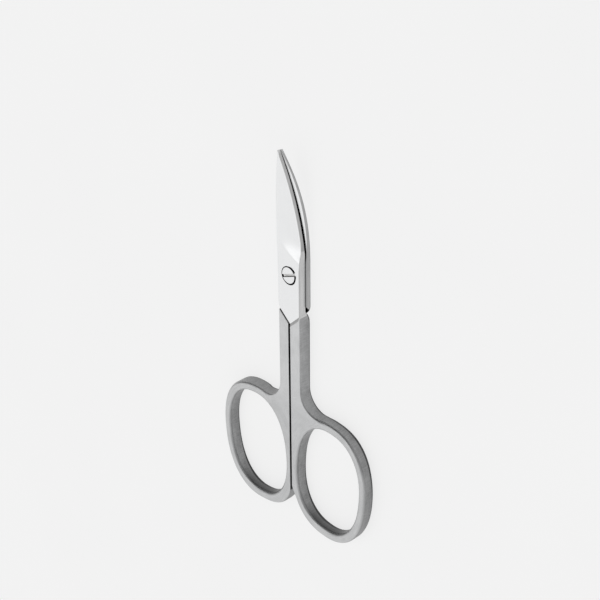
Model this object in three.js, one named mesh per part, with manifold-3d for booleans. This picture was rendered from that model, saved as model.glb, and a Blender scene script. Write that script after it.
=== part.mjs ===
import * as THREE from 'three';
import { mergeVertices } from 'three/addons/utils/BufferGeometryUtils.js';
import Module from 'manifold-3d';

// Nail scissors with curved blades, closed and lying on their rear face.
// Millimetres: +Y runs from the pivot to the tips, +Z is up, and the origin is the foot of the pivot axis.
// Both halves are built face up. The rear half is then turned over about the Y axis.

// Handles
const HANDLE_THICKNESS = 3.25;
const HANDLE_EDGE_RADIUS = 0.4;
const SHANK_WIDTH = 2.95;
const SHANK_GAP = 0.3;
const SHANK_FILLET = 4;
const PIVOT_TO_LOOP = 46.8;
const HOLE_WIDTH = 18.4;
const HOLE_HEIGHT = 26.3;
const LOOP_BAR = 1.9;
const LOOP_INNER_FLAT = 0.3;
const LOOP_LEAN = THREE.MathUtils.degToRad(4.5);
const LOOP_SQUARENESS = 2.3;

// Crossing of the two halves, where each shank ends in one leg of a V
const PIVOT_TO_CROTCH = 11.85;
const SHOULDER_SLOPE = THREE.MathUtils.degToRad(43);
const SHOULDER_CHAMFER = 0.5;
const SHOULDER_STEP = 0.15;
const SHOULDER_GAP = 0.3;
const SHOULDER_CORNER_RADIUS = 0.5;
const BASE_CORNER_RADIUS = 2.5;

// Blades
const BLADE_LENGTH = 28;
const SPINE_SIDE = 3.45;
const SPINE_STRAIGHT_LENGTH = 9;
const SPINE_ROUND_LENGTH = 19;
const SPINE_SIDE_AT_TIP = 0.15;
const SPINE_EDGE_RADIUS = 0.2;
const EDGE_SIDE = 3;
const EDGE_STRAIGHT_LENGTH = 5.5;
const EDGE_ROUND_LENGTH = 14.5;
const EDGE_ROUND_SIDE = 2.75;
const EDGE_SIDE_AT_TIP = 0.05;
const MATING_HEIGHT = 1.35;
const MATING_GAP = 0.2;
const CURVE_START = 2;
const CURVE_RADIUS = 91;
const TIP_THICKNESS = 0.6;
const BEVEL_HEIGHT = 0.55;
const BEVEL_WIDTH = 0.15;
const HOLLOW_DEPTH = 0.12;
const GRIND_START_AT_SPINE = 6.3;
const GRIND_START_AT_EDGE = 3.4;
const GRIND_RUNOUT = 3.2;

// Pivot screw
const HEAD_DIAMETER = 3.75;
const HEAD_RIM = 0.3;
const HEAD_CONE = 0.7;
const PIN_DIAMETER = 2.4;
const SCREW_CLEARANCE = 0.2;
const SLOT_WIDTH = 0.65;
const SLOT_DEPTH = 0.8;
const SLOT_ANGLE = THREE.MathUtils.degToRad(20);

// Fineness of the faceted curves
const LOOP_SEGMENTS = 56;
const FILLET_SEGMENTS = 8;
const BEVEL_SEGMENTS = 3;
const ROUND_SEGMENTS = 40;
const FACE_COLUMNS = 6;

// Overshoot of a cutter past the faces that it goes through
const CUT_MARGIN = 1;

// Derived sizes
const FACE_HEIGHT = HANDLE_THICKNESS - SHOULDER_STEP;
const SHANK_INSIDE = SHANK_GAP / 2;
const SHANK_OUTSIDE = SHANK_INSIDE + SHANK_WIDTH;
const SHOULDER_RISE = Math.tan(SHOULDER_SLOPE);
const HOLE_HALF = new THREE.Vector2(HOLE_WIDTH / 2, HOLE_HEIGHT / 2);
const LOOP_HALF = HOLE_HALF.clone().addScalar(LOOP_BAR);

const wasm = await Module();
wasm.setup();

function solidOf(geometry) {
  geometry.deleteAttribute('normal');
  geometry.deleteAttribute('uv');
  const merged = mergeVertices(geometry, 1e-4);
  const mesh = new wasm.Mesh({
    numProp: 3,
    vertProperties: new Float32Array(merged.attributes.position.array),
    triVerts: new Uint32Array(merged.index.array),
  });
  return new wasm.Manifold(mesh);
}

function geometryOf(solid) {
  const mesh = solid.getMesh();
  const geometry = new THREE.BufferGeometry();
  geometry.setAttribute('position', new THREE.BufferAttribute(mesh.vertProperties, mesh.numProp));
  geometry.setIndex(new THREE.BufferAttribute(mesh.triVerts, 1));
  geometry.computeVertexNormals();
  return geometry;
}

// The value between low and high where a rising test function first passes zero
function solveBetween(low, high, test) {
  for (let step = 0; step < 50; step += 1) {
    const middle = (low + high) / 2;
    if (test(middle) < 0) {
      low = middle;
    } else {
      high = middle;
    }
  }
  return (low + high) / 2;
}

// Evenly spaced values from first to last, both included
function spread(first, last, count) {
  return Array.from({ length: count + 1 }, (_, i) => THREE.MathUtils.lerp(first, last, i / count));
}

// Point of a loop outline at an angle, a rounded-off oval that leans outwards at the top
function ovalPoint(angle, half) {
  const power = 2 / LOOP_SQUARENESS;
  const across = Math.sign(Math.cos(angle)) * Math.abs(Math.cos(angle)) ** power;
  const along = Math.sign(Math.sin(angle)) * Math.abs(Math.sin(angle)) ** power;
  const point = new THREE.Vector2(half.x * across, half.y * along);
  return point.rotateAround(new THREE.Vector2(), -LOOP_LEAN);
}

function ovalPoints(first, last, half) {
  return spread(first, last, LOOP_SEGMENTS).map((angle) => ovalPoint(angle, half));
}

// Centre of the loop, placed so that its inner side is cut flat along the gap between the handles
function loopCentre() {
  const reach = Math.max(...ovalPoints(0, 2 * Math.PI, LOOP_HALF).map((point) => point.x));
  return new THREE.Vector2(SHANK_INSIDE + reach - LOOP_INNER_FLAT, -PIVOT_TO_LOOP);
}

// Height of the V leg that ends a shank, at a distance from the centre line
function legHeight(x) {
  return -PIVOT_TO_CROTCH + x * SHOULDER_RISE;
}

// Outline of the right handle seen from the front, with the finger hole
function handleShape() {
  const centre = loopCentre();
  const outside = (angle) => ovalPoint(angle, LOOP_HALF).add(centre);
  const top = legHeight(SHANK_OUTSIDE) + CUT_MARGIN;

  // The fillet circle touches the shank's outer side and rests on the top of the loop
  const filletX = SHANK_OUTSIDE + SHANK_FILLET;
  const crown = spread(Math.PI / 3, Math.PI, 4 * LOOP_SEGMENTS);
  const distanceTo = (y, angle) => outside(angle).distanceTo(new THREE.Vector2(filletX, y));
  const clearanceAt = (y) => Math.min(...crown.map((angle) => distanceTo(y, angle))) - SHANK_FILLET;
  const crownTop = Math.max(...crown.map((angle) => outside(angle).y));
  const filletY = solveBetween(crownTop - SHANK_FILLET, top, clearanceAt);
  const byDistance = (a, b) => distanceTo(filletY, a) - distanceTo(filletY, b);
  const touchAngle = [...crown].sort(byDistance)[0];
  const touch = outside(touchAngle);
  const filletEnd = Math.atan2(touch.y - filletY, touch.x - filletX) + 2 * Math.PI;

  // The loop outline runs clockwise from the fillet to where the flat inner side cuts it
  const flatAngle = solveBetween(Math.PI, 1.5 * Math.PI, (angle) => outside(angle).x - SHANK_INSIDE);
  const loop = spread(touchAngle, flatAngle - 2 * Math.PI, LOOP_SEGMENTS).map(outside);

  const filletPoint = (angle) => new THREE.Vector2(
    filletX + SHANK_FILLET * Math.cos(angle),
    filletY + SHANK_FILLET * Math.sin(angle),
  );
  const fillet = spread(Math.PI, filletEnd, FILLET_SEGMENTS).slice(0, -1).map(filletPoint);
  const shape = new THREE.Shape([
    new THREE.Vector2(SHANK_INSIDE, top),
    new THREE.Vector2(SHANK_OUTSIDE, top),
    ...fillet,
    ...loop,
  ]);
  const hole = ovalPoints(0, 2 * Math.PI, HOLE_HALF).slice(0, -1).map((point) => point.add(centre));
  shape.holes.push(new THREE.Path(hole));
  return shape;
}

// Prism that ends a shank along its V leg and slopes the step down to the blade's face
function shoulderCutter() {
  const reach = PIVOT_TO_CROTCH;
  const top = HANDLE_THICKNESS + CUT_MARGIN;
  const slopeReach = SHOULDER_CHAMFER * (SHOULDER_STEP + CUT_MARGIN) / SHOULDER_STEP;
  const section = new THREE.Shape([
    new THREE.Vector2(0, -CUT_MARGIN),
    new THREE.Vector2(reach, -CUT_MARGIN),
    new THREE.Vector2(reach, top),
    new THREE.Vector2(-slopeReach, top),
    new THREE.Vector2(0, FACE_HEIGHT),
  ]);
  const length = 4 * SHANK_OUTSIDE;
  const geometry = new THREE.ExtrudeGeometry(section, { depth: length, bevelEnabled: false });
  geometry.translate(0, 0, -length / 2);
  const away = new THREE.Vector3(-Math.sin(SHOULDER_SLOPE), Math.cos(SHOULDER_SLOPE), 0);
  const up = new THREE.Vector3(0, 0, 1);
  const along = new THREE.Vector3().crossVectors(away, up);
  geometry.applyMatrix4(new THREE.Matrix4().makeBasis(away, up, along));
  geometry.translate(0, -PIVOT_TO_CROTCH, 0);
  return solidOf(geometry);
}

// Prism that rounds off the sharp outer corner of a shank's end, from below up to a height
function cornerCutter(top) {
  const cornerAngle = Math.PI / 2 - SHOULDER_SLOPE;
  const cornerY = legHeight(SHANK_OUTSIDE);
  const centreX = SHANK_OUTSIDE - SHOULDER_CORNER_RADIUS;
  const centreY = cornerY - SHOULDER_CORNER_RADIUS / Math.tan(cornerAngle / 2);
  const arcPoint = (radius) => (angle) => new THREE.Vector2(
    centreX + radius * Math.cos(angle),
    centreY + radius * Math.sin(angle),
  );
  const arcEnd = Math.PI - cornerAngle;
  const outerRadius = SHOULDER_CORNER_RADIUS + CUT_MARGIN;
  const section = new THREE.Shape([
    ...spread(0, arcEnd, FILLET_SEGMENTS).map(arcPoint(SHOULDER_CORNER_RADIUS)),
    arcPoint(outerRadius)(arcEnd),
    new THREE.Vector2(SHANK_OUTSIDE + CUT_MARGIN, cornerY + CUT_MARGIN),
    arcPoint(outerRadius)(0),
  ]);
  const geometry = new THREE.ExtrudeGeometry(section, { depth: top + CUT_MARGIN, bevelEnabled: false });
  geometry.translate(0, 0, -CUT_MARGIN);
  return solidOf(geometry);
}

// Shank and finger loop with rounded edges, ended along the V leg
function handleSolid(matingFace) {
  const geometry = new THREE.ExtrudeGeometry(handleShape(), {
    depth: HANDLE_THICKNESS - 2 * HANDLE_EDGE_RADIUS,
    bevelThickness: HANDLE_EDGE_RADIUS,
    bevelSize: HANDLE_EDGE_RADIUS,
    bevelOffset: -HANDLE_EDGE_RADIUS,
    bevelSegments: BEVEL_SEGMENTS,
  });
  geometry.translate(0, 0, HANDLE_EDGE_RADIUS);
  return solidOf(geometry).subtract(shoulderCutter()).subtract(cornerCutter(matingFace));
}

// Distance from the centre line at a height along a plan curve of the blade
function sideAt(curve, y) {
  const t = solveBetween(0, 1, (value) => curve.getPoint(value).y - y);
  return curve.getPoint(t).x;
}

const spineCurve = new THREE.QuadraticBezierCurve(
  new THREE.Vector2(SPINE_SIDE, SPINE_STRAIGHT_LENGTH),
  new THREE.Vector2(SPINE_SIDE, SPINE_ROUND_LENGTH),
  new THREE.Vector2(SPINE_SIDE_AT_TIP, BLADE_LENGTH),
);

const edgeCurve = new THREE.QuadraticBezierCurve(
  new THREE.Vector2(EDGE_SIDE, EDGE_STRAIGHT_LENGTH),
  new THREE.Vector2(EDGE_ROUND_SIDE, EDGE_ROUND_LENGTH),
  new THREE.Vector2(EDGE_SIDE_AT_TIP, BLADE_LENGTH),
);

// The blade's base follows the other half's V leg at a gap, then rounds into the straight spine
const BASE_POINT = -PIVOT_TO_CROTCH + SHOULDER_GAP / Math.cos(SHOULDER_SLOPE);
const CORNER_TANGENT = BASE_CORNER_RADIUS * Math.tan((Math.PI / 2 - SHOULDER_SLOPE) / 2);
const CORNER_END = BASE_POINT + SPINE_SIDE * SHOULDER_RISE + CORNER_TANGENT;
const CORNER_START = CORNER_END - BASE_CORNER_RADIUS * Math.cos(SHOULDER_SLOPE);
const CORNER_X = SPINE_SIDE - BASE_CORNER_RADIUS;
const BASE_START = BASE_POINT - SHANK_INSIDE - HANDLE_EDGE_RADIUS;

function spineX(y) {
  if (y < CORNER_START) {
    return -(y - BASE_POINT) / SHOULDER_RISE;
  }
  if (y < CORNER_END) {
    return -CORNER_X - Math.sqrt(BASE_CORNER_RADIUS ** 2 - (CORNER_END - y) ** 2);
  }
  return y < SPINE_STRAIGHT_LENGTH ? -SPINE_SIDE : -sideAt(spineCurve, y);
}

function edgeX(y) {
  return y < EDGE_STRAIGHT_LENGTH ? EDGE_SIDE : sideAt(edgeCurve, y);
}

// How far the curved blades have risen out of the flat at a distance from the pivot
function curveRise(y) {
  const run = Math.max(0, y - CURVE_START);
  return CURVE_RADIUS - Math.sqrt(CURVE_RADIUS ** 2 - run ** 2);
}

// From 0 on the flat pivot face to 1 on the ground blade, along a slanting boundary
function grindShare(x, y) {
  const across = (x + SPINE_SIDE) / (SPINE_SIDE + EDGE_SIDE);
  const start = THREE.MathUtils.lerp(GRIND_START_AT_SPINE, GRIND_START_AT_EDGE, across);
  return THREE.MathUtils.smoothstep(y, start, start + GRIND_RUNOUT);
}

// Thickness from the mating face to the outer face, before the spine edge is rounded
function bladeThickness(x, y, flatThickness) {
  const along = Math.max(0, y - GRIND_START_AT_SPINE) / (BLADE_LENGTH - GRIND_START_AT_SPINE);
  const atSpine = THREE.MathUtils.lerp(flatThickness, TIP_THICKNESS, along);
  const across = (x - spineX(y)) / (edgeX(y) - BEVEL_WIDTH - spineX(y));
  const ground = THREE.MathUtils.lerp(atSpine, BEVEL_HEIGHT, across);
  return THREE.MathUtils.lerp(flatThickness, ground, grindShare(x, y));
}

// One cross-section of a blade: points of the outer face and of the mating face, from spine to edge
function bladeSection(y, matingFace, flatThickness, riseSign) {
  const spine = spineX(y);
  const edge = edgeX(y);
  const base = matingFace + riseSign * curveRise(y);
  const bevelX = edge - BEVEL_WIDTH * grindShare(edge, y);
  const radius = SPINE_EDGE_RADIUS;
  const roundEnd = spine + Math.min(radius, (bevelX - spine) / 3);
  const roundMiddle = THREE.MathUtils.lerp(spine, roundEnd, 1 - Math.SQRT1_2);
  const outerX = [spine, roundMiddle, ...spread(roundEnd, bevelX, FACE_COLUMNS)];
  const outer = outerX.map((x) => {
    const inset = Math.max(0, roundEnd - x) / (roundEnd - spine);
    const drop = radius * (1 - Math.sqrt(1 - inset ** 2));
    return new THREE.Vector3(x, y, base + bladeThickness(x, y, flatThickness) - drop);
  });
  const mating = spread(0, 1, outerX.length - 1).map((across) => {
    const x = THREE.MathUtils.lerp(spine, edge, across);
    const hollow = HOLLOW_DEPTH * 4 * across * (1 - across) * grindShare(x, y);
    return new THREE.Vector3(x, y, base + hollow);
  });
  return { outer, mating };
}

// Places along the blade where a cross-section is needed, closest where its shape changes most
function bladeStations() {
  const grindEnd = GRIND_START_AT_SPINE + GRIND_RUNOUT;
  const stretches = [
    [BASE_START, CORNER_START, 1],
    [CORNER_START, CORNER_END, 5],
    [CORNER_END, GRIND_START_AT_EDGE, 3],
    [GRIND_START_AT_EDGE, grindEnd, 9],
    [grindEnd, BLADE_LENGTH, 16],
  ];
  const stations = stretches.flatMap(([first, last, count]) => spread(first, last, count).slice(0, -1));
  return [...stations, BLADE_LENGTH];
}

// Closed skin over the cross-sections of a blade
function bladeSolid(matingFace, flatThickness, riseSign) {
  const sections = bladeStations().map((y) => bladeSection(y, matingFace, flatThickness, riseSign));
  const columns = sections[0].outer.length;
  const points = sections.flatMap(({ outer, mating }) => [...outer, ...mating]);
  const outerAt = (row, column) => row * 2 * columns + column;
  const matingAt = (row, column) => outerAt(row, column) + columns;
  const triangles = [];
  const quad = (a, b, c, d) => triangles.push(a, b, c, a, c, d);
  const last = sections.length - 1;
  for (let row = 0; row < last; row += 1) {
    const next = row + 1;
    for (let left = 0; left < columns - 1; left += 1) {
      const right = left + 1;
      quad(outerAt(row, left), outerAt(row, right), outerAt(next, right), outerAt(next, left));
      quad(matingAt(row, right), matingAt(row, left), matingAt(next, left), matingAt(next, right));
    }
    const end = columns - 1;
    quad(matingAt(row, 0), outerAt(row, 0), outerAt(next, 0), matingAt(next, 0));
    quad(outerAt(row, end), matingAt(row, end), matingAt(next, end), outerAt(next, end));
  }
  for (let left = 0; left < columns - 1; left += 1) {
    const right = left + 1;
    quad(matingAt(0, left), matingAt(0, right), outerAt(0, right), outerAt(0, left));
    quad(outerAt(last, left), outerAt(last, right), matingAt(last, right), matingAt(last, left));
  }
  const geometry = new THREE.BufferGeometry().setFromPoints(points);
  geometry.setIndex(triangles);
  return solidOf(geometry);
}

// Solid of revolution about the Z axis from pairs of radius and height
function turnedSolid(profile) {
  const points = profile.map(([radius, height]) => new THREE.Vector2(radius, height));
  const geometry = new THREE.LatheGeometry(points, ROUND_SEGMENTS);
  geometry.rotateX(Math.PI / 2);
  return solidOf(geometry);
}

// Outline of the screw from foot to top, grown by a clearance and run past both ends by a margin
function screwProfile(clearance, margin) {
  const pin = PIN_DIAMETER / 2 + clearance;
  const head = HEAD_DIAMETER / 2 + clearance;
  const rim = FACE_HEIGHT - HEAD_RIM;
  return [
    [0, -margin],
    [pin, -margin],
    [pin, rim - HEAD_CONE],
    [head, rim],
    [head, FACE_HEIGHT + margin],
    [0, FACE_HEIGHT + margin],
  ];
}

function screwSolid() {
  const slot = new THREE.BoxGeometry(2 * HEAD_DIAMETER, SLOT_WIDTH, 2 * SLOT_DEPTH);
  slot.rotateZ(SLOT_ANGLE);
  slot.translate(0, 0, FACE_HEIGHT);
  return turnedSolid(screwProfile(0, 0)).subtract(solidOf(slot));
}

// One half, face up: blade and handle in one forging, bored for the screw
function halfSolid(matingHeight, riseSign, bore) {
  const matingFace = matingHeight + MATING_GAP / 2;
  const blade = bladeSolid(matingFace, FACE_HEIGHT - matingFace, riseSign);
  return handleSolid(matingFace).add(blade).subtract(bore);
}

function steelMesh(name, solid, roughness) {
  const material = new THREE.MeshStandardMaterial({ color: 0xc9cbcc, metalness: 1, roughness });
  const mesh = new THREE.Mesh(geometryOf(solid), material);
  mesh.name = name;
  return mesh;
}

const pinRadius = PIN_DIAMETER / 2 + SCREW_CLEARANCE;
const pinBore = turnedSolid([
  [0, -CUT_MARGIN],
  [pinRadius, -CUT_MARGIN],
  [pinRadius, HANDLE_THICKNESS + CUT_MARGIN],
  [0, HANDLE_THICKNESS + CUT_MARGIN],
]);
const sunkBore = turnedSolid(screwProfile(SCREW_CLEARANCE, CUT_MARGIN));

const frontHalf = steelMesh('front_half', halfSolid(MATING_HEIGHT, 1, sunkBore), 0.35);
const rearHalf = steelMesh('rear_half', halfSolid(HANDLE_THICKNESS - MATING_HEIGHT, -1, pinBore), 0.35);
rearHalf.rotation.y = Math.PI;
rearHalf.position.z = HANDLE_THICKNESS;
const pivotScrew = steelMesh('pivot_screw', screwSolid(), 0.2);

const scissors = new THREE.Group();
scissors.add(frontHalf, rearHalf, pivotScrew);

export default scissors;
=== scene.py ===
import math
from types import SimpleNamespace

import bmesh
import bpy
from mathutils import Matrix, Vector


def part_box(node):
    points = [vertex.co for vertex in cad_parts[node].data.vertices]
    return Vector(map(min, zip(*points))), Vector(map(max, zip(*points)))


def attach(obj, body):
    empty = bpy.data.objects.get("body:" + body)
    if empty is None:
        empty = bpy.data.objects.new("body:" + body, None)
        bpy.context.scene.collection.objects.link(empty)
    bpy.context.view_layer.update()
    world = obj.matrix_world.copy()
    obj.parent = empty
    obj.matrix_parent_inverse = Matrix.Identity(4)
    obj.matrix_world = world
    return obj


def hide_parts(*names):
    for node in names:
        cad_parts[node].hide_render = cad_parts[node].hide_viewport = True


# Nail scissors with curved blades, closed and lying on their rear face.
# +Y runs from the pivot to the tips, +Z is up, and the origin is the foot of the pivot axis.
# Both halves are shaped face up, in metres. The rear half is then turned over about the Y axis.

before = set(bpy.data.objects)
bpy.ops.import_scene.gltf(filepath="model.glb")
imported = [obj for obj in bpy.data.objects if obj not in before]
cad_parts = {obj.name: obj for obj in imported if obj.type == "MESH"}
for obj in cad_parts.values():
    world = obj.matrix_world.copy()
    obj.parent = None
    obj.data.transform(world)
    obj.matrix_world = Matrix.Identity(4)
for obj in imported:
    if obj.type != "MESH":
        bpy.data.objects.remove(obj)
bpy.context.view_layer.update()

MM = 0.001

# Sizes that the solids give
front_low, front_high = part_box("front_half")
screw_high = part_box("pivot_screw")[1]
BLADE_LENGTH = front_high.y
SPINE_SIDE = -front_low.x
FACE_HEIGHT = screw_high.z

# Handles. The fillet below the shank touches the loop on its crown, which starts at an angle.
SHOULDER_STEP = 0.15 * MM
HANDLE_THICKNESS = FACE_HEIGHT + SHOULDER_STEP
SHANK_INSIDE = 0.24 * MM
SHANK_OUTSIDE = 3.1 * MM
SHANK_FILLET = 5 * MM
PIVOT_TO_LOOP = 46.7 * MM
LOOP_RADII = Vector((11.1, 15.15)) * MM
HOLE_RADII = Vector((9.2, 12.95)) * MM
HOLE_LIFT = 0.1 * MM
LOOP_INNER_FLAT = 0.39 * MM
LOOP_LEAN = math.radians(4.5)
LOOP_SQUARENESS = 2.3
CROWN_START = math.pi / 3

# Radii of the worn edges, in front and at the rear: on the shanks, the loops, round the holes and
# at the holes' feet, and along the gap and the V legs. The loops' rear edges go over to each half's
# own radius on the outer upper side, between these shares of the loop's radii.
SHANK_EDGE = 0.2 * MM
SHANK_REAR_EDGE = 0.35 * MM
LOOP_EDGE = 0.7 * MM
HOLE_REAR_EDGE = 0.5 * MM
HOLE_FOOT_EDGE = 0.85 * MM
HOLE_FOOT_REAR_EDGE = 1.4 * MM
GAP_EDGE = 0.06 * MM
LEG_EDGE = 0.08 * MM
CROWN_OUTWARD = (-0.6, 0.3)
CROWN_UP = (-0.2, 0.5)

# V shoulders, where each shank ends along one leg. The outer corner is cut back along the leg and
# along the side, from each half's own cut at the foot to a common one at the foot's height, and is
# ground for a length.
PIVOT_TO_CROTCH = 11.6 * MM
SHOULDER_SLOPE = math.radians(43)
SHOULDER_RISE = math.tan(SHOULDER_SLOPE)
SHOULDER_CHAMFER = 0.7 * MM
SHOULDER_SINK = 0.02 * MM
SHOULDER_GAP = 0.1 * MM
CORNER_CUT = Vector((0.2, 0.64)) * MM
CORNER_GROUND = 0.9 * MM
FOOT_HEIGHT = 1.1 * MM
BASE_CORNER_RADIUS = 2.5 * MM

# Ground off the mating face by the base's corner, and left on in a ramp to the shoulder
RELIEF_START = -6.9 * MM
RELIEF_RADIUS = 0.45 * MM
RELIEF_MOST = 0.8 * MM
RAMP_START = -7.7 * MM
RAMP_RADIUS = 1.7 * MM
RAMP_MOST = 1.2 * MM

# Blades. The rounding on the cutting side runs out before the grind starts, and the spine side is
# relieved past the length on which the blades ride on each other. Shares are the most of a blade's
# width that an edge or the bevel takes.
SPINE_STRAIGHT_LENGTH = 9 * MM
SPINE_ROUND_LENGTH = 19 * MM
SPINE_SIDE_AT_TIP = 0.15 * MM
SPINE_EDGE_RADIUS = 0.28 * MM
SPINE_EDGE_SHARE = 1 / 3
EDGE_SIDE = 3 * MM
EDGE_STRAIGHT_LENGTH = 5.5 * MM
EDGE_ROUND_LENGTH = 14.5 * MM
EDGE_ROUND_SIDE = 2.1 * MM
EDGE_SIDE_AT_TIP = 0.05 * MM
PIVOT_EDGE_RADIUS = 0.22 * MM
BEVEL_EDGE_RADIUS = 0.02 * MM
CUTTING_EDGE_SHARE = 1 / 4
EDGE_RUNOUT = 2 * MM
MATING_HEIGHT = 1.35 * MM
MATING_GAP = 0.1 * MM
BLADE_RELIEF = 0.03 * MM
SPINE_RELIEF = 0.13 * MM
RIDE_LENGTH = 2 * MM
RIDE_RUNOUT = 4 * MM
CURVE_START = 2 * MM
CURVE_RADIUS = 91 * MM
TIP_THICKNESS = 0.6 * MM
BEVEL_HEIGHT = 0.43 * MM
BEVEL_WIDTH = 0.4 * MM
BEVEL_SHARE = 0.4
HOLLOW_DEPTH = 0.12 * MM
GRIND_START_AT_SPINE = 6.3 * MM
GRIND_START_AT_EDGE = 3.4 * MM
GRIND_RUNOUT = 4.6 * MM
GRIND_LIP = 0.35

# Pivot screw, with a worn head that stands a little proud
HEAD_WEAR = 0.05 * MM
HEAD_RADIUS = screw_high.x - HEAD_WEAR
HEAD_RISE = 0.24 * MM
HEAD_TOP = FACE_HEIGHT + HEAD_RISE
HEAD_RIM = 0.3 * MM
HEAD_CONE = 0.7 * MM
RIM_FOOT = FACE_HEIGHT - HEAD_RIM
CONE_FOOT = RIM_FOOT - HEAD_CONE
PIN_RADIUS = 1.2 * MM
SCREW_CLEARANCE = 0.2 * MM
BORE_RADIUS = PIN_RADIUS + SCREW_CLEARANCE
HEAD_CLEARANCE = 0.27 * MM
SEAT_RADIUS = HEAD_RADIUS + HEAD_CLEARANCE
SEAT_SHIFT = Vector((-0.12, -0.18, 0)) * MM
SCREW_EDGE = 0.03 * MM
SCREW_EDGE_ANGLE = math.radians(30)
SLOT_CUTTER_LENGTH = 4 * HEAD_RADIUS
SLOT_WIDTH = 0.65 * MM
SLOT_DEPTH = 0.4 * MM
SLOT_ANGLE = math.radians(20)

# What differs between the two halves
FRONT_HALF = SimpleNamespace(
    face_up=True,
    mating_height=MATING_HEIGHT,
    base_lift=0,
    leg_lift=0.25 * MM,
    foot_cut=Vector((2.4, 3)) * MM,
    crown_rear_edge=1.2 * MM,
    foot_squareness=LOOP_SQUARENESS,
)
REAR_HALF = SimpleNamespace(
    face_up=False,
    mating_height=HANDLE_THICKNESS - MATING_HEIGHT,
    base_lift=0.25 * MM,
    leg_lift=-0.05 * MM,
    foot_cut=Vector((0.25, 0.9)) * MM,
    crown_rear_edge=0.2 * MM,
    foot_squareness=2.65,
)

# Places of the finishes in each half's list: handle, blade faces, cutting side with mating face and
# shoulder corner, spine and V leg, bore walls painted dark as shade
SATIN, POLISHED, GROUND, FORGED, BORE_SHADE = range(5)

# And in the screw's list: head and pin, slot
TURNED, SLOTTED = range(2)

# Fineness of the curved surfaces, how far cutters reach past a face, and what counts as sharp
SOLVE_STEPS = 50
LOOP_POINTS = 220
GAP_RUNOUT = LOOP_POINTS / 16
CROWN_POINTS = 4 * LOOP_POINTS
FILLET_POINTS = 28
CORNER_POINTS = 12
EDGE_LEVELS = 16
BASE_STATIONS = 6
CORNER_STATIONS = 24
PIVOT_STATIONS = 14
GRIND_STATIONS = 36
TIP_STATIONS = 64
FACE_COLUMNS = 26
LAND_COLUMNS = 12
ROUND_COLUMNS = 8
TURNED_POINTS = 96
SCREW_EDGE_SEGMENTS = 3
CUT_MARGIN = 1 * MM
SHARP_TURN = 0.25
SHARP_ANGLE = math.radians(16)
FLAT_FACE_WEIGHT = 80

# Studio: how bright it is all round, what is added about the overhead direction, what goes on the right
# and past the tips, and where each starts and is full. The floor is flat round the scissors and
# swept up beyond.
SKY_LEVEL = 1.0
OVERHEAD = Vector((-0.35, 0.15, 0.92))
OVERHEAD_START = (0.84, 0.99)
OVERHEAD_LEVEL = 0.2
RIGHT_START = (0.0, 0.6)
RIGHT_LOSS = 0.33
TIPS_START = (-0.4, 0.15)
TIPS_LOSS = 0.85
TIPS_SHARE_ON_RIGHT = 0.55
FLOOR_HALF = 3000 * MM
FLOOR_FLAT = 1500 * MM
FLOOR_SWEEP = 230 * MM
FLOOR_GAP = 0.02 * MM
FLOOR_SQUARES = 80

# View of the photograph
VIEW_TURN = math.radians(45.64)
VIEW_RISE = math.radians(28.03)
VIEW_ROLL = math.radians(0.46)
VIEW_DISTANCE = 257.7 * MM
VIEW_CENTRE = Vector((2.12, -5.38, 2.06)) * MM
VIEW_LENS = 74.8
VIEW_NEAREST = 10 * MM


def blend(first, last, share):
    return first + (last - first) * share


def spread(first, last, count):
    """Evenly spaced values from first to last, both included."""
    return [blend(first, last, i / count) for i in range(count + 1)]


def ease(value, low, high):
    """Smooth step from 0 at low to 1 at high."""
    share = min(1.0, max(0.0, (value - low) / (high - low)))
    return share * share * (3 - 2 * share)


def solve_between(low, high, test):
    """The value between low and high where a rising test passes zero."""
    for _ in range(SOLVE_STEPS):
        middle = (low + high) / 2
        if test(middle) < 0:
            low = middle
        else:
            high = middle
    return (low + high) / 2


def bow(first, control, last, share):
    """Point of a quadratic curve that leaves first and reaches last in line with a control point."""
    return blend(blend(first, control, share), blend(control, last, share), share)


# Handles


def oval_point(angle, radii, foot_squareness=LOOP_SQUARENESS):
    """Point of a squared-off oval that leans outwards at the top, its inner foot squared in its own way."""
    inner_foot = math.cos(angle) < 0 and math.sin(angle) < 0
    power = 2 / (foot_squareness if inner_foot else LOOP_SQUARENESS)
    across = math.copysign(abs(math.cos(angle)) ** power, math.cos(angle))
    along = math.copysign(abs(math.sin(angle)) ** power, math.sin(angle))
    return Matrix.Rotation(-LOOP_LEAN, 2) @ Vector((radii.x * across, radii.y * along))


def loop_centre():
    reach = max(oval_point(angle, LOOP_RADII).x for angle in spread(0, math.tau, LOOP_POINTS))
    return Vector((SHANK_INSIDE + reach - LOOP_INNER_FLAT, -PIVOT_TO_LOOP))


def leg_height(x):
    return -PIVOT_TO_CROTCH + x * SHOULDER_RISE


def shank_corner(sharp, cut):
    """Curve over a shank's outer corner, cut back by one length on the V leg and one on the side."""
    on_leg = sharp - cut.x * Vector((math.cos(SHOULDER_SLOPE), math.sin(SHOULDER_SLOPE)))
    on_side = sharp - cut.y * Vector((0, 1))
    return [bow(on_leg, sharp, on_side, share) for share in spread(0, 1, CORNER_POINTS)]


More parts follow.
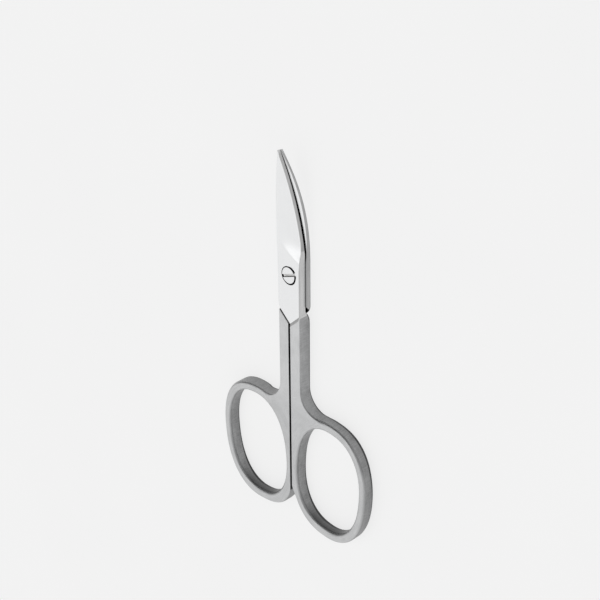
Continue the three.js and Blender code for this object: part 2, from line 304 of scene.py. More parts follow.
def loop_run(half):
    """Outer outline below a shank: the fillet, then the loop clockwise to its flat inner side."""
    centre = loop_centre()

    def outside(angle):
        return centre + oval_point(angle, LOOP_RADII, half.foot_squareness)

    fillet_x = SHANK_OUTSIDE + SHANK_FILLET
    crown = spread(CROWN_START, math.pi, CROWN_POINTS)

    def distance(y, angle):
        return (outside(angle) - Vector((fillet_x, y))).length

    crown_top = max(outside(angle).y for angle in crown)
    fillet_y = solve_between(
        crown_top - SHANK_FILLET,
        leg_height(SHANK_OUTSIDE),
        lambda y: min(distance(y, angle) for angle in crown) - SHANK_FILLET,
    )
    touch_angle = min(crown, key=lambda angle: distance(fillet_y, angle))
    touch = outside(touch_angle)
    fillet_centre = Vector((fillet_x, fillet_y))
    fillet_end = math.atan2(touch.y - fillet_y, touch.x - fillet_x) + math.tau
    fillet = [
        fillet_centre + SHANK_FILLET * Vector((math.cos(turn), math.sin(turn)))
        for turn in spread(math.pi, fillet_end, FILLET_POINTS)[:-1]
    ]
    flat_angle = solve_between(
        math.pi, 1.5 * math.pi, lambda angle: outside(angle).x - SHANK_INSIDE
    )
    loop = [outside(angle) for angle in spread(touch_angle, flat_angle - math.tau, LOOP_POINTS)]
    return fillet, loop


def handle_rim(half):
    """Outline of a handle, clockwise: each point with the edge radii and V slope that leave it."""
    fillet, loop = loop_run(half)
    leg_start = Vector((SHANK_INSIDE, leg_height(SHANK_INSIDE) + half.leg_lift))
    leg_end = Vector((SHANK_OUTSIDE, leg_height(SHANK_OUTSIDE) + half.leg_lift))
    rim = [(leg_start, LEG_EDGE, LEG_EDGE, 1.0), (leg_end, SHANK_EDGE, SHANK_REAR_EDGE, 0.0)]
    for i, point in enumerate(fillet):
        down = ease(i, 0, FILLET_POINTS)
        front_edge = blend(SHANK_EDGE, LOOP_EDGE, down)
        rear_edge = blend(SHANK_REAR_EDGE, LOOP_EDGE, down)
        rim.append((point, front_edge, rear_edge, 0.0))
    centre = loop_centre()
    for i, point in enumerate(loop):
        outward = ease((point.x - centre.x) / LOOP_RADII.x, *CROWN_OUTWARD)
        up = ease((point.y - centre.y) / LOOP_RADII.y, *CROWN_UP)
        crown_edge = blend(LOOP_EDGE, half.crown_rear_edge, outward * up)
        off_gap = ease(LOOP_POINTS - i, 0, GAP_RUNOUT)
        front_edge = blend(GAP_EDGE, LOOP_EDGE, off_gap)
        rear_edge = blend(GAP_EDGE, crown_edge, off_gap)
        rim.append((point, front_edge, rear_edge, 0.0))
    return rim


def hole_rim():
    """Outline of a finger hole, in the same form as a handle's but anticlockwise."""
    centre = loop_centre() + Vector((0, HOLE_LIFT))
    rim = []
    for angle in spread(0, math.tau, LOOP_POINTS)[:-1]:
        at_foot = max(0.0, -math.sin(angle))
        front_edge = blend(LOOP_EDGE, HOLE_FOOT_EDGE, at_foot**2)
        rear_edge = blend(HOLE_REAR_EDGE, HOLE_FOOT_REAR_EDGE, at_foot**2)
        rim.append((centre + oval_point(angle, HOLE_RADII), front_edge, rear_edge, 0.0))
    return rim


def turned_rim(rim):
    """The outline for a half that is to be turned over, with front and rear radii exchanged."""
    return [(point, rear_edge, front_edge, slope) for point, front_edge, rear_edge, slope in rim]


def round_inset(radius, depth):
    """How far a rounded edge draws in at a depth below its face."""
    rest = max(0.0, radius - depth)
    return radius - math.sqrt(radius * radius - rest * rest)


def edge_inset(upper_edge, lower_edge, slope, height):
    """How far the wall stands in from the outline at a height, by its roundings and V slope."""
    depth = HANDLE_THICKNESS - height
    fall = SHOULDER_CHAMFER * max(0.0, 1 - depth / (SHOULDER_STEP + SHOULDER_SINK))
    above = blend(round_inset(upper_edge, depth), fall, slope)
    return max(above, round_inset(lower_edge, height))


def inset_ring(rim, height):
    """Points of an outline drawn in by its edges' rounding at a height."""
    count = len(rim)
    points = [entry[0] for entry in rim]
    insets = [edge_inset(*edges, height) for _, *edges in rim]
    normals = []
    for i in range(count):
        run = (points[(i + 1) % count] - points[i]).normalized()
        normals.append(Vector((-run.y, run.x)))
    ring = []
    for i in range(count):
        before, after = normals[i - 1], normals[i]
        turn = before.x * after.y - before.y * after.x
        if abs(turn) > SHARP_TURN:
            shift = Vector((
                insets[i - 1] * after.y - insets[i] * before.y,
                before.x * insets[i] - after.x * insets[i - 1],
            )) / turn
        else:
            middle = (before + after).normalized()
            shift = middle * (insets[i - 1] + insets[i]) / 2 / middle.dot(after)
        ring.append(points[i] - shift)
    return ring


def handle_levels():
    """Heights of the wall's rings, over the largest rounding below and above, closest at the faces."""
    low = [HOLE_FOOT_REAR_EDGE * share * share for share in spread(0, 1, EDGE_LEVELS)]
    return low + [HANDLE_THICKNESS - height for height in reversed(low)]


def handle_mesh(half):
    """Shank and finger loop with rounded edges, ended along the V leg."""
    shape = bmesh.new()
    outline = handle_rim(half)
    hole = hole_rim()
    if not half.face_up:
        outline = turned_rim(outline)
        hole = turned_rim(hole)
    # The outline's second point is the shank's outer corner, at the end of the V leg
    ground_end = outline[1][0].y - CORNER_GROUND
    outer = []
    inner = []
    for height in handle_levels():
        ring = inset_ring(outline, height)
        cut = blend(half.foot_cut, CORNER_CUT, ease(height, 0, FOOT_HEIGHT))
        ring[1:2] = shank_corner(ring[1], cut)
        outer.append([shape.verts.new((point.x, point.y, height)) for point in ring])
        ring = inset_ring(hole, height)
        inner.append([shape.verts.new((point.x, point.y, height)) for point in ring])
    for lower, upper in zip(inner, inner[1:]):
        join_rings(shape, lower, upper)
    for lower, upper in zip(outer, outer[1:]):
        faces = join_rings(shape, lower, upper)
        faces[1].material_index = FORGED
        for i, face in enumerate(faces[2:CORNER_POINTS + 2]):
            middle = face.calc_center_median()
            if i < CORNER_POINTS / 2 or (middle.z > FOOT_HEIGHT and middle.y > ground_end):
                face.material_index = GROUND
    for row in (0, -1):
        edges = ring_edges(shape, outer[row]) + ring_edges(shape, inner[row])
        bmesh.ops.triangle_fill(shape, use_beauty=True, edges=edges)
    bmesh.ops.recalc_face_normals(shape, faces=shape.faces)
    return shape


def join_rings(shape, lower, upper):
    """Wall between two rings, as a list with the face before each point of a ring."""
    around = range(len(lower))
    return [shape.faces.new((lower[i - 1], lower[i], upper[i], upper[i - 1])) for i in around]


def ring_edges(shape, ring):
    return [shape.edges.get((ring[i - 1], ring[i])) for i in range(len(ring))]


# Blades


def side_at(y, first, control, last):
    share = solve_between(0, 1, lambda value: bow(first, control, last, value).y - y)
    return bow(first, control, last, share).x


SPINE_BOW = (
    Vector((SPINE_SIDE, SPINE_STRAIGHT_LENGTH)),
    Vector((SPINE_SIDE, SPINE_ROUND_LENGTH)),
    Vector((SPINE_SIDE_AT_TIP, BLADE_LENGTH)),
)
EDGE_BOW = (
    Vector((EDGE_SIDE, EDGE_STRAIGHT_LENGTH)),
    Vector((EDGE_ROUND_SIDE, EDGE_ROUND_LENGTH)),
    Vector((EDGE_SIDE_AT_TIP, BLADE_LENGTH)),
)

# The blade's base follows the other half's V leg at a gap, then rounds into the straight spine
BASE_POINT = -PIVOT_TO_CROTCH + SHOULDER_GAP / math.cos(SHOULDER_SLOPE)
CORNER_TANGENT = BASE_CORNER_RADIUS * math.tan((math.pi / 2 - SHOULDER_SLOPE) / 2)
CORNER_END = BASE_POINT + SPINE_SIDE * SHOULDER_RISE + CORNER_TANGENT
CORNER_START = CORNER_END - BASE_CORNER_RADIUS * math.cos(SHOULDER_SLOPE)
CORNER_X = SPINE_SIDE - BASE_CORNER_RADIUS
BASE_OVERLAP = 0.55 * MM
BASE_START = BASE_POINT - BASE_OVERLAP


def spine_x(y):
    if y < CORNER_START:
        return -(y - BASE_POINT) / SHOULDER_RISE
    if y < CORNER_END:
        return -CORNER_X - math.sqrt(BASE_CORNER_RADIUS**2 - (CORNER_END - y) ** 2)
    return -SPINE_SIDE if y < SPINE_STRAIGHT_LENGTH else -side_at(y, *SPINE_BOW)


def edge_x(y):
    return EDGE_SIDE if y < EDGE_STRAIGHT_LENGTH else side_at(y, *EDGE_BOW)


def curve_rise(y):
    """How far the curved blades have risen out of the flat at a distance from the pivot."""
    run = max(0.0, y - CURVE_START)
    return CURVE_RADIUS - math.sqrt(CURVE_RADIUS**2 - run**2)


def grind_share(x, y):
    """From 0 on the flat pivot face to 1 on the ground blade, along a slanting boundary."""
    across = (x + SPINE_SIDE) / (SPINE_SIDE + EDGE_SIDE)
    start = blend(GRIND_START_AT_SPINE, GRIND_START_AT_EDGE, across)
    run = min(1.0, max(0.0, (y - start) / GRIND_RUNOUT))
    return (1 - (1 - run) ** 2) * ease(run, -GRIND_LIP, GRIND_LIP)


def wheel_depth(y, start, radius, most):
    """How deep a wheel of a radius cuts below its start, up to a limit."""
    run = max(0.0, start - y)
    return min(most, run * run / (2 * radius))


def blade_section(y, half):
    """One cross-section: points of the outer face and of the mating face, from spine to edge."""
    mating_face = half.mating_height + MATING_GAP / 2
    flat_thickness = FACE_HEIGHT - mating_face
    spine = spine_x(y - half.base_lift if y < 0 else y)
    edge = edge_x(y)
    base = mating_face + curve_rise(y) * (1 if half.face_up else -1)
    ground_there = grind_share(edge, y)
    bevel_width = min(BEVEL_WIDTH, BEVEL_SHARE * (edge - spine))
    bevel_x = edge - bevel_width * ground_there
    width = bevel_x - spine
    round_end = spine + min(SPINE_EDGE_RADIUS, SPINE_EDGE_SHARE * width)
    sharpened = ease(y, GRIND_START_AT_EDGE - EDGE_RUNOUT, GRIND_START_AT_EDGE)
    rounding = blend(PIVOT_EDGE_RADIUS, BEVEL_EDGE_RADIUS, sharpened)
    edge_radius = min(rounding, CUTTING_EDGE_SHARE * width)
    face_end = bevel_x - edge_radius
    along = max(0.0, y - GRIND_START_AT_SPINE) / (BLADE_LENGTH - GRIND_START_AT_SPINE)
    at_spine = blend(flat_thickness, TIP_THICKNESS, along)

    def face_height(x):
        ground = blend(at_spine, BEVEL_HEIGHT, (x - spine) / (edge - bevel_width - spine))
        return base + blend(flat_thickness, ground, grind_share(x, y))

    outer = []
    for turn in spread(0, math.pi / 2, ROUND_COLUMNS)[:-1]:
        x = blend(round_end, spine, math.cos(turn))
        outer.append(Vector((x, y, face_height(x) - SPINE_EDGE_RADIUS * (1 - math.sin(turn)))))
    for x in spread(round_end, face_end, FACE_COLUMNS)[:-1]:
        outer.append(Vector((x, y, face_height(x))))
    for turn in spread(0, math.pi / 2, ROUND_COLUMNS):
        x = blend(face_end, bevel_x, math.sin(turn))
        outer.append(Vector((x, y, face_height(x) - edge_radius * (1 - math.cos(turn)))))
    mating = []
    base_relief = wheel_depth(y, RELIEF_START, RELIEF_RADIUS, RELIEF_MOST)
    ramp = wheel_depth(y, RAMP_START, RAMP_RADIUS, RAMP_MOST)
    relief = BLADE_RELIEF * ground_there * (1 - along)
    fall = SPINE_RELIEF * (1 - along) * ease(y, RIDE_LENGTH, RIDE_LENGTH + RIDE_RUNOUT)
    for across in spread(0, 1, len(outer) - 1):
        x = blend(spine, edge, across)
        hollow = HOLLOW_DEPTH * (1 - along) * 4 * across * (1 - across) * grind_share(x, y)
        lean = blend(base_relief + fall, -ramp, across)
        mating.append(Vector((x, y, base + relief + hollow + lean)))
    return outer, mating


def blade_stations(base_lift):
    """Places of the cross-sections along the blade, closest where its shape changes most."""
    grind_end = GRIND_START_AT_SPINE + GRIND_RUNOUT
    stretches = (
        (BASE_START + base_lift, CORNER_START + base_lift, BASE_STATIONS),
        (CORNER_START + base_lift, CORNER_END + base_lift, CORNER_STATIONS),
        (CORNER_END + base_lift, GRIND_START_AT_EDGE, PIVOT_STATIONS),
        (GRIND_START_AT_EDGE, grind_end, GRIND_STATIONS),
        (grind_end, BLADE_LENGTH, TIP_STATIONS),
    )
    stations = []
    for first, last, count in stretches:
        stations += spread(first, last, count)[:-1]
    return stations + [BLADE_LENGTH]


def blade_mesh(half):
    """Closed skin over the cross-sections of a blade."""
    shape = bmesh.new()
    rings = []
    for y in blade_stations(half.base_lift):
        outer, mating = blade_section(y, half)
        rings.append([shape.verts.new(point) for point in outer + mating[::-1]])
    columns = len(rings[0]) // 2
    edge_start = columns - ROUND_COLUMNS
    land_start = 2 * columns - LAND_COLUMNS
    for lower, upper in zip(rings, rings[1:]):
        faces = join_rings(shape, lower, upper)
        for i, face in enumerate(faces):
            face.material_index = GROUND if edge_start <= i < land_start else POLISHED
        faces[0].material_index = FORGED
    for ring in (rings[0], rings[-1]):
        for i in range(columns - 1):
            shape.faces.new((ring[i], ring[i + 1], ring[-2 - i], ring[-1 - i])).material_index = GROUND
    bmesh.ops.recalc_face_normals(shape, faces=shape.faces)
    return shape


# Turned pieces


def turned_mesh(profile):
    """Solid of revolution about the Z axis from pairs of radius and height, closed on the axis."""
    shape = bmesh.new()
    angles = spread(0, math.tau, TURNED_POINTS)[:-1]
    rings = []
    for radius, height in profile:
        places = [(radius * math.cos(turn), radius * math.sin(turn), height) for turn in angles]
        rings.append([shape.verts.new(place) for place in places])
    for lower, upper in zip(rings, rings[1:]):
        join_rings(shape, lower, upper)
    shape.faces.new(rings[0])
    shape.faces.new(rings[-1])
    bmesh.ops.recalc_face_normals(shape, faces=shape.faces)
    return shape


def sunk_bore():
    """Bore for the pin through the front half, with the head's seat sunk a little off the axis."""
    seat = turned_mesh([
        (BORE_RADIUS, -CUT_MARGIN),
        (BORE_RADIUS, CONE_FOOT),
        (SEAT_RADIUS, RIM_FOOT),
        (SEAT_RADIUS, FACE_HEIGHT + CUT_MARGIN),
    ])
    head_points = [vert for vert in seat.verts if vert.co.z > RIM_FOOT - HEAD_CONE / 2]
    bmesh.ops.translate(seat, vec=SEAT_SHIFT, verts=head_points)
    return seat


def pin_bore():
    return turned_mesh([(BORE_RADIUS, -CUT_MARGIN), (BORE_RADIUS, HANDLE_THICKNESS + CUT_MARGIN)])


def screw_mesh():
    return turned_mesh([
        (PIN_RADIUS, 0),
        (PIN_RADIUS, CONE_FOOT),
        (HEAD_RADIUS, RIM_FOOT),
        (HEAD_RADIUS, HEAD_TOP),
    ])


def slot_mesh():
    """Cutter for the screw's slot, in the second finish."""
    shape = bmesh.new()
    size = Matrix.Diagonal((SLOT_CUTTER_LENGTH, SLOT_WIDTH, 2 * SLOT_DEPTH, 1))
    in_head = Matrix.Translation((0, 0, HEAD_TOP)) @ Matrix.Rotation(SLOT_ANGLE, 4, "Z")
    bmesh.ops.create_cube(shape, size=1, matrix=in_head @ size)
    for face in shape.faces:
        face.material_index = SLOTTED
    return shape


# Putting the pieces together


def new_object(name, shape, materials):
    mesh = bpy.data.meshes.new(name)
    shape.to_mesh(mesh)
    shape.free()
    for material in materials:
        mesh.materials.append(material)
    made = bpy.data.objects.new(name, mesh)
    bpy.context.scene.collection.objects.link(made)
    return made


def settle(piece, *helpers):
    """Applies a piece's modifiers to its mesh and removes the shapes that they used."""
    depsgraph = bpy.context.evaluated_depsgraph_get()
    mesh = bpy.data.meshes.new_from_object(piece.evaluated_get(depsgraph))
    piece.modifiers.clear()
    piece.data = mesh
    mesh.name = piece.name
    for helper in helpers:
        bpy.data.objects.remove(helper)


def boolean(piece, other, operation):
    modifier = piece.modifiers.new(operation.lower(), "BOOLEAN")
    modifier.operation = operation
    modifier.solver = "EXACT"
    modifier.object = other


def soften(piece):
    """Smooth shading across the curved surfaces, with flat faces kept flat."""
    piece.data.shade_smooth()
    piece.data.set_sharp_from_angle(angle=SHARP_ANGLE)
    modifier = piece.modifiers.new("even faces", "WEIGHTED_NORMAL")
    modifier.keep_sharp = True
    modifier.weight = FLAT_FACE_WEIGHT
    settle(piece)


def half_piece(name, half, bore, materials):
    """One half, face up: handle and blade in one forging, bored for the screw."""
    piece = new_object(name, handle_mesh(half), materials)
    # The bore's walls take a dark finish that paints shade in the gap round the screw.
    for face in bore.faces:
        face.material_index = BORE_SHADE
    blade = new_object(name + "_blade", blade_mesh(half), materials)
    cutter = new_object(name + "_bore", bore, materials)
    boolean(piece, blade, "UNION")
    boolean(piece, cutter, "DIFFERENCE")
    settle(piece, blade, cutter)
    soften(piece)
    return piece


def screw_piece(name, materials):
    """Screw with its slot cut in the second finish."""
    piece = new_object(name, screw_mesh(), materials)
    slot = new_object(name + "_slot", slot_mesh(), materials)
    boolean(piece, slot, "DIFFERENCE")
    eased = piece.modifiers.new("eased edges", "BEVEL")
    eased.width = SCREW_EDGE
    eased.segments = SCREW_EDGE_SEGMENTS
    eased.limit_method = "ANGLE"
    eased.angle_limit = SCREW_EDGE_ANGLE
    settle(piece, slot)
    soften(piece)
    return piece


def place(piece, body, node, slot):
    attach(piece, body)
    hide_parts(node)


# Finishes


class Field:
    """A value that changes over a surface. Operators on it add Math nodes to its tree."""

    def __init__(self, tree, socket=None):
        self.tree = tree
        self.socket = socket

    def node(self, kind, sockets=None, output=0, **settings):
        """Output of a new node, with fields linked to its sockets and other values set on them."""
        made = self.tree.nodes.new(kind)
        for name, value in settings.items():
            setattr(made, name, value)
        for name, value in (sockets or {}).items():
            if isinstance(value, Field):
                self.tree.links.new(value.socket, made.inputs[name])
            else:
                made.inputs[name].default_value = value
        return Field(self.tree, made.outputs[output] if made.outputs else None)

    def math(self, operation, *values):
        return self.node("ShaderNodeMath", dict(enumerate(values)), operation=operation)

    def __add__(self, other):
        return self.math("ADD", self, other)

    def __radd__(self, other):
        return self.math("ADD", other, self)

    def __sub__(self, other):
        return self.math("SUBTRACT", self, other)

    def __rsub__(self, other):
        return self.math("SUBTRACT", other, self)

    def __mul__(self, other):
        return self.math("MULTIPLY", self, other)

    def __rmul__(self, other):
        return self.math("MULTIPLY", other, self)

    def __pow__(self, other):
        return self.math("POWER", self, other)

    def __abs__(self):
        return self.math("ABSOLUTE", self)

    def eased(self, low, high, first=0.0, last=1.0):
        """Smooth step of this value from first at low to last at high."""
        return self.node(
            "ShaderNodeMapRange",
            {"Value": self, "From Min": low, "From Max": high, "To Min": first, "To Max": last},
            interpolation_type="SMOOTHSTEP",
        )

    def part(self, axis):
        return self.node("ShaderNodeSeparateXYZ", {"Vector": self}, output=axis)

    def stretched(self, factors):
        return self.node("ShaderNodeVectorMath", {0: self, 1: factors}, operation="MULTIPLY")

    def swing(self, amount):
        """This value's departure from a half, times an amount."""
        return (self - 0.5) * amount

    def noise(self, scale, detail, roughness=0.5):
        sockets = {"Vector": self, "Scale": scale, "Detail": detail, "Roughness": roughness}
        return self.node("ShaderNodeTexNoise", sockets)

    def tinted(self, first, last):
        """Colour between two colours by this value."""
        return self.node(
            "ShaderNodeMix",
            {"Factor": self, 6: (*first, 1.0), 7: (*last, 1.0)},
            output=2,
            data_type="RGBA",
        )


def new_finish(name):
    """An empty material, a field in its tree, and the place on the piece as a field."""
    material = bpy.data.materials.new(name)
    material.use_nodes = True
    material.node_tree.nodes.clear()
    finish = Field(material.node_tree)
    return material, finish, finish.node("ShaderNodeTexCoord", output="Object")


def steel(finish, look, tone, roughness, height):
    """Metal between the look's two colours, with a pattern as a fine bump."""
    bump = finish.node(
        "ShaderNodeBump", {"Strength": look.bump, "Distance": look.bump_depth, "Height": height}
    )
    colour = tone.tinted(look.dark, look.light)
    shader = finish.node(
        "ShaderNodeBsdfPrincipled",
        {"Base Color": colour, "Metallic": 1.0, "Roughness": roughness, "Normal": bump},
    )
    finish.node("ShaderNodeOutputMaterial", {"Surface": shader})


# How far a surface looks up where walls go over into front faces. The other two are how far it looks
# down, where walls go over into rear faces and where low edges start.
FRONT_FACING = (0.2, 0.75)
REAR_FACING = (0.85, 0.98)
LOW_FACING = (0.0, 0.2)


def wall_share(facing):
    """1 on walls and their lower edges, 0 on front and rear faces."""
    return 1 - facing.eased(*FRONT_FACING) - (0 - facing).eased(*REAR_FACING)


def low_edge_shade(facing):
    """1 on the rounded edges that look down at the floor: where shade from the floor is painted on."""
    return wall_share(facing) * (0 - facing).eased(*LOW_FACING)


# In each look a tone goes from the dark colour at 0 to the light one at 1. A noise is given by its scale,
# detail and roughness. A swing is how far a pattern moves a value both ways, a gain how far it raises
# it, and a loss is the share of the tone that it takes. Pairs say where a change starts and ends.
SATIN_LOOK = SimpleNamespace(
    dark=(0.04, 0.04, 0.04),
    light=(0.68, 0.685, 0.69),
    bump=0.2,
    bump_depth=0.02 * MM,
    brushed_noise=(9 / MM, 2.0),
    brushed_drift=0.03,
    brushed_bump=0.6,
    brushed_swing=0.3,
    grain_noise=(7 / MM, 4.0, 0.6),
    grain_swing=0.35,
    mottle_noise=(0.3 / MM, 3.0),
    mottle_swing=0.25,
    tone=0.76,
    shank_start=(-34 * MM, -28 * MM),
    shank_gain=0.1,
    crossed_stretch=(1, 1, 0.15),
    crossed_noise=(5 / MM, 2.0),
    crossed_swing=0.3,
    # Painted shade on the walls, lessening with height, so darkest next to the floor.
    wall_shade_drop=0.46,
    wall_shade_rise=0.04 / MM,
    # Painted shade in the gap between the shanks, near the middle line.
    gap_shade_width=(0.26 * MM, 0.34 * MM),
    gap_shade_loss=0.9,
    # Painted shade on the edges that look down at the floor.
    low_edge_shade_loss=0.95,
    # Painted shade on the walls at the loops' feet: on the hole walls that face the pivot, most near the
    # front face, and on the outer walls that face away.
    foot_end=(-57 * MM, -50 * MM),
    foot_inside_turn=(0.45, 0.95),
    foot_inside_height=(-0.5 * MM, 3 * MM),
    foot_inside_shade=(0.05, 0.8),
    foot_outside_turn=(0.3, 0.8),
    foot_outside_shade=0.5,
    roughness=0.36,
    roughness_swing=0.1,
    wall_roughness_gain=0.06,
)


def satin_steel():
    """Handles: a fine even grain, brushed round the loops and along the shanks, with painted shade on the
    walls, in the gap between the shanks, on the low edges and at the loops' feet.
    """
    look = SATIN_LOOK
    material, finish, spot = new_finish("satin_steel")
    normal = finish.node("ShaderNodeTexCoord", output="Normal")
    facing = normal.part(2)
    wall = wall_share(facing)
    aside = abs(spot.part(0))
    centre = loop_centre()
    across = (aside - centre.x) * (1 / LOOP_RADII.x)
    along = (spot.part(1) - centre.y) * (1 / LOOP_RADII.y)
    round_loop = (across * across + along * along) ** 0.5 * LOOP_RADII.x
    on_shank = spot.part(1).eased(*look.shank_start)
    lane = round_loop * (1 - on_shank) + aside * on_shank
    drift = (spot.part(1) + aside) * look.brushed_drift
    lanes = finish.node("ShaderNodeCombineXYZ", {0: lane, 1: spot.part(2), 2: drift})
    brushed = lanes.noise(*look.brushed_noise)
    grain = spot.noise(*look.grain_noise)
    mottle = spot.noise(*look.mottle_noise)
    tone = look.tone + look.shank_gain * on_shank + mottle.swing(look.mottle_swing)
    tone = tone + grain.swing(look.grain_swing) + brushed.swing(look.brushed_swing)
    crossed = spot.stretched(look.crossed_stretch).noise(*look.crossed_noise)
    # Painted shade on the walls, broken by crossed lines, darker towards the floor.
    drop = look.wall_shade_drop - crossed.swing(look.crossed_swing) - spot.part(2) * look.wall_shade_rise
    # Painted shade in the gap between the shanks.
    gap_shade = 1 - aside.eased(*look.gap_shade_width)
    tone = (tone - drop * wall) * (1 - look.gap_shade_loss * gap_shade)
    # Painted shade on the edges that look down at the floor.
    tone = tone * (1 - look.low_edge_shade_loss * low_edge_shade(facing))
    # Painted shade on the walls at the loops' feet.
    at_foot = 1 - spot.part(1).eased(*look.foot_end)
    inside_shade_by_height = spot.part(2).eased(*look.foot_inside_height, *look.foot_inside_shade)
    inside = normal.part(1).eased(*look.foot_inside_turn) * inside_shade_by_height
    outside = (0 - normal.part(1)).eased(*look.foot_outside_turn) * look.foot_outside_shade
    tone = tone * (1 - (inside + outside) * at_foot * wall)
    roughness = look.roughness + mottle.swing(look.roughness_swing) + grain.swing(look.roughness_swing)
    roughness = roughness + look.wall_roughness_gain * wall
    steel(finish, look, tone, roughness, grain + brushed * look.brushed_bump)
    return material


POLISHED_LOOK = SimpleNamespace(
    dark=(0, 0, 0),
    light=(1, 1.006, 1.012),
    bump=0.03,
    bump_depth=0.01 * MM,
    lines_stretch=(9, 0.12, 9),
    lines_noise=(1 / MM, 2.0),
    cloud_noise=(0.25 / MM, 3.0),
    tone=0.8,
    tone_swing=0.04,
    # Painted shade on the edges that look down at the floor.
    low_edge_shade_loss=0.9,
    roughness=0.14,
    roughness_swing=0.06,
)


def polished_steel():
    """Blade faces: near mirror, with faint lines along the blade, a soft cloudiness and painted shade on
    the edges that look down at the floor.
    """
    look = POLISHED_LOOK
    material, finish, spot = new_finish("polished_steel")
    facing = finish.node("ShaderNodeTexCoord", output="Normal").part(2)
    lines = spot.stretched(look.lines_stretch).noise(*look.lines_noise)
    cloud = spot.noise(*look.cloud_noise)
    tone = look.tone + lines.swing(look.tone_swing) + cloud.swing(look.tone_swing)
    # Painted shade on the edges that look down at the floor.
    tone = tone * (1 - look.low_edge_shade_loss * low_edge_shade(facing))
    roughness = look.roughness + lines.swing(look.roughness_swing) + cloud.swing(look.roughness_swing)
    steel(finish, look, tone, roughness, lines)
    return material


FINE_LINES = dict(
    bump=0.12,
    bump_depth=0.01 * MM,
    lines_stretch=(4, 0.1, 4),
    lines_noise=(1 / MM, 3.0),
    lines_swing=1.6,
    cloud_noise=(0.4 / MM, 3.0),
    cloud_swing=0.5,
    tone=0.5,
    lines_roughness_swing=0.12,
    cloud_roughness_swing=0.06,
)
GROUND_LOOK = SimpleNamespace(
    dark=(0.48, 0.48, 0.48), light=(0.68, 0.68, 0.68), roughness=0.24, **FINE_LINES
)
FORGED_LOOK = SimpleNamespace(
    dark=(0.33, 0.33, 0.33), light=(0.47, 0.47, 0.47), roughness=0.32, **FINE_LINES
)


def lined_steel(name, look):
    """Steel with fine lines along its length."""
    material, finish, spot = new_finish(name)
    lines = spot.stretched(look.lines_stretch).noise(*look.lines_noise)
    cloud = spot.noise(*look.cloud_noise)
    tone = lines.swing(look.lines_swing) + cloud.swing(look.cloud_swing) + look.tone
    roughness = look.roughness + lines.swing(look.lines_roughness_swing)
    roughness = roughness + cloud.swing(look.cloud_roughness_swing)
    steel(finish, look, tone, roughness, lines)
    return material


def ground_steel():
    """Cutting side, most of the mating face, shoulder corner: ground and left unpolished."""
    return lined_steel("ground_steel", GROUND_LOOK)


def forged_steel():
    """Spines and V legs: darker, as they came from the forge."""
    return lined_steel("forged_steel", FORGED_LOOK)


SLOT_LOOK = SimpleNamespace(
    dark=(0.3, 0.295, 0.29),
    light=(0.86, 0.86, 0.86),
    bump=0.12,
    bump_depth=0.01 * MM,
    lines_stretch=(0.4, 4, 4),
    lines_noise=(1 / MM, 3.0),
    lines_swing=1.2,
    tone=0.5,
    # Painted shade along the slot's lower corners; the loss is also used for the screw head's painted
    # shade.
    corner_shade_side=(0.3 * SLOT_WIDTH, 0.5 * SLOT_WIDTH),
    painted_shade_loss=0.8,
    roughness=0.22,
    lines_roughness_gain=0.1,
)


def slot_steel():
    """Screw slot: ground, with painted shade along its two lower corners."""
    look = SLOT_LOOK
    material, finish, spot = new_finish("slot_steel")
    across = spot.part(1) * math.cos(SLOT_ANGLE) - spot.part(0) * math.sin(SLOT_ANGLE)
    aside = abs(across).eased(*look.corner_shade_side)
    deep = 1 - spot.part(2).eased(HEAD_TOP - SLOT_DEPTH, HEAD_TOP)
    lines = spot.stretched(look.lines_stretch).noise(*look.lines_noise)
    # Painted shade along the slot's lower corners.
    tone = (look.tone + lines.swing(look.lines_swing)) * (1 - look.painted_shade_loss * aside * deep)
    steel(finish, look, tone, look.roughness + lines * look.lines_roughness_gain, lines)
    return material


# A near-black finish that paints shade on the bore walls.
BORE_SHADE_LOOK = SimpleNamespace(
    dark=(0.03, 0.029, 0.028),
    light=(0.09, 0.088, 0.085),
    bump=0.1,
    bump_depth=0.01 * MM,
    blotch_noise=(1.5 / MM, 3.0),
    roughness=0.3,
    blotch_roughness_gain=0.2,
)


def bore_shade_steel():
    """Bore walls, painted dark as shade."""
    look = BORE_SHADE_LOOK
    material, finish, spot = new_finish("bore_shade_steel")
    blotch = spot.noise(*look.blotch_noise)
    steel(finish, look, blotch, look.roughness + blotch * look.blotch_roughness_gain, blotch)
    return material


SCREW_LOOK = SimpleNamespace(
    dark=(0.02, 0.02, 0.02),
    light=(0.86, 0.865, 0.87),
    bump=0.05,
    bump_depth=0.01 * MM,
    rings_rate=60 / MM,
    rings_gain=0.15,
    cloud_noise=(1.2 / MM, 3.0),
    cloud_gain=0.1,
    tone=0.8,
    # Painted shade round the rim and side of the head, where it sits in its seat.
    rim_shade_start=(HEAD_RADIUS - 0.08 * MM, HEAD_RADIUS - 0.02 * MM),
    painted_shade_loss=0.9,
    roughness=0.16,
    cloud_roughness_swing=0.1,
    rings_roughness_gain=0.05,
)


def screw_steel():
    """Turned screw: fine rings about its axis, with painted shade round the rim of the head and on its
    side.
    """
    look = SCREW_LOOK
    material, finish, spot = new_finish("screw_steel")
    radius = (spot.part(0) ** 2 + spot.part(1) ** 2) ** 0.5
    rings = finish.math("SINE", radius * look.rings_rate) * 0.5 + 0.5
    cloud = spot.noise(*look.cloud_noise)
    # Painted shade round the rim and side of the head.
    head_rim_shade = radius.eased(*look.rim_shade_start)
    tone = rings * look.rings_gain + cloud * look.cloud_gain + look.tone
    tone = tone * (1 - look.painted_shade_loss * head_rim_shade)
    roughness = look.roughness + cloud.swing(look.cloud_roughness_swing)
    roughness = roughness + rings * look.rings_roughness_gain
    steel(finish, look, tone, roughness, rings)
    return material


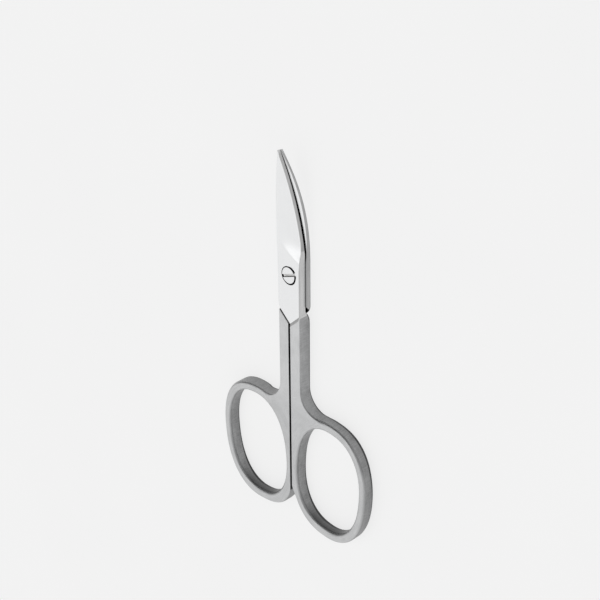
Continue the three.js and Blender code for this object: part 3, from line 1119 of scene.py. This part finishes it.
FLOOR_LOOK = SimpleNamespace(
    dark=(0.94, 0.94, 0.94),
    light=(0.96, 0.96, 0.96),
    cloud_noise=(0.02 / MM, 2.0),
    roughness=0.9,
    glow=0.82,
)


def pale_floor():
    """White sweep, part lit and part glowing where the camera or a reflection sees it."""
    look = FLOOR_LOOK
    material, finish, spot = new_finish("pale_floor")
    colour = spot.noise(*look.cloud_noise).tinted(look.dark, look.light)
    lit = finish.node("ShaderNodeBsdfPrincipled", {"Base Color": colour, "Roughness": look.roughness})
    glow = finish.node("ShaderNodeEmission", {"Color": colour, "Strength": 1.0})
    seen = finish.node("ShaderNodeLightPath", output="Is Camera Ray")
    for ray in ("Is Glossy Ray", "Is Transmission Ray"):
        seen = seen.math("MAXIMUM", seen, finish.node("ShaderNodeLightPath", output=ray))
    surface = finish.node("ShaderNodeMixShader", {0: seen * look.glow, 1: lit, 2: glow})
    finish.node("ShaderNodeOutputMaterial", {"Surface": surface})
    return material


# Studio


def add_floor():
    """Flat under the scissors, and swept up into a low wall all round."""
    shape = bmesh.new()
    bmesh.ops.create_grid(
        shape, x_segments=FLOOR_SQUARES, y_segments=FLOOR_SQUARES, size=FLOOR_HALF
    )
    for vert in shape.verts:
        outward = max(0.0, vert.co.length - FLOOR_FLAT) / (FLOOR_HALF - FLOOR_FLAT)
        vert.co.z = FLOOR_SWEEP * outward * outward - FLOOR_GAP
    floor = new_object("floor", shape, [pale_floor()])
    floor.data.shade_smooth()


def add_sky():
    """Soft surroundings: a little brighter overhead, a little dimmer on the right, dim past the tips."""
    world = bpy.data.worlds.new("studio")
    bpy.context.scene.world = world
    world.use_nodes = True
    world.node_tree.nodes.clear()
    sky = Field(world.node_tree)
    direction = sky.node("ShaderNodeTexCoord", output="Generated")
    towards = sky.node(
        "ShaderNodeVectorMath",
        {0: direction, 1: OVERHEAD.normalized()},
        output="Value",
        operation="DOT_PRODUCT",
    )
    overhead = towards.eased(*OVERHEAD_START)
    tips_share = direction.part(0).eased(*RIGHT_START, 1.0, TIPS_SHARE_ON_RIGHT)
    past_tips = direction.part(1).eased(*TIPS_START) * tips_share * (1 - overhead)
    on_right = direction.part(0).eased(*RIGHT_START) * (1 - overhead)
    strength = SKY_LEVEL * (1 - TIPS_LOSS * past_tips) * (1 - RIGHT_LOSS * on_right)
    strength = strength + OVERHEAD_LEVEL * overhead
    backdrop = sky.node("ShaderNodeBackground", {"Color": (1, 1, 1, 1), "Strength": strength})
    sky.node("ShaderNodeOutputWorld", {"Surface": backdrop})


def add_camera():
    """Camera with the photograph's view of the scissors."""
    back = Vector((
        math.sin(VIEW_TURN) * math.cos(VIEW_RISE),
        math.sin(VIEW_RISE),
        math.cos(VIEW_TURN) * math.cos(VIEW_RISE),
    ))
    right = Vector((math.cos(VIEW_TURN), 0, -math.sin(VIEW_TURN)))
    axes = Matrix((right, back.cross(right), back)).transposed()
    data = bpy.data.cameras.new("photograph_view")
    data.lens = VIEW_LENS
    camera = bpy.data.objects.new("photograph_view", data)
    turn = axes @ Matrix.Rotation(-VIEW_ROLL, 3, "Z")
    camera.matrix_world = Matrix.Translation(VIEW_CENTRE + back * VIEW_DISTANCE) @ turn.to_4x4()
    data.clip_start = VIEW_NEAREST
    bpy.context.scene.collection.objects.link(camera)
    bpy.context.scene.camera = camera


add_camera()
add_floor()
add_sky()
bpy.context.scene.view_settings.view_transform = "Standard"

finishes = [satin_steel(), polished_steel(), ground_steel(), forged_steel(), bore_shade_steel()]
front = half_piece("front_scissor_half", FRONT_HALF, sunk_bore(), finishes)
place(front, "front", "front_half", "front_steel")

rear = half_piece("rear_scissor_half", REAR_HALF, pin_bore(), finishes)
turned_over = Matrix.Translation((0, 0, HANDLE_THICKNESS)) @ Matrix.Rotation(math.pi, 4, "Y")
rear.data.transform(turned_over)
place(rear, "rear", "rear_half", "rear_steel")

screw = screw_piece("slotted_screw", [screw_steel(), slot_steel()])
place(screw, "rear", "pivot_screw", "screw_steel")
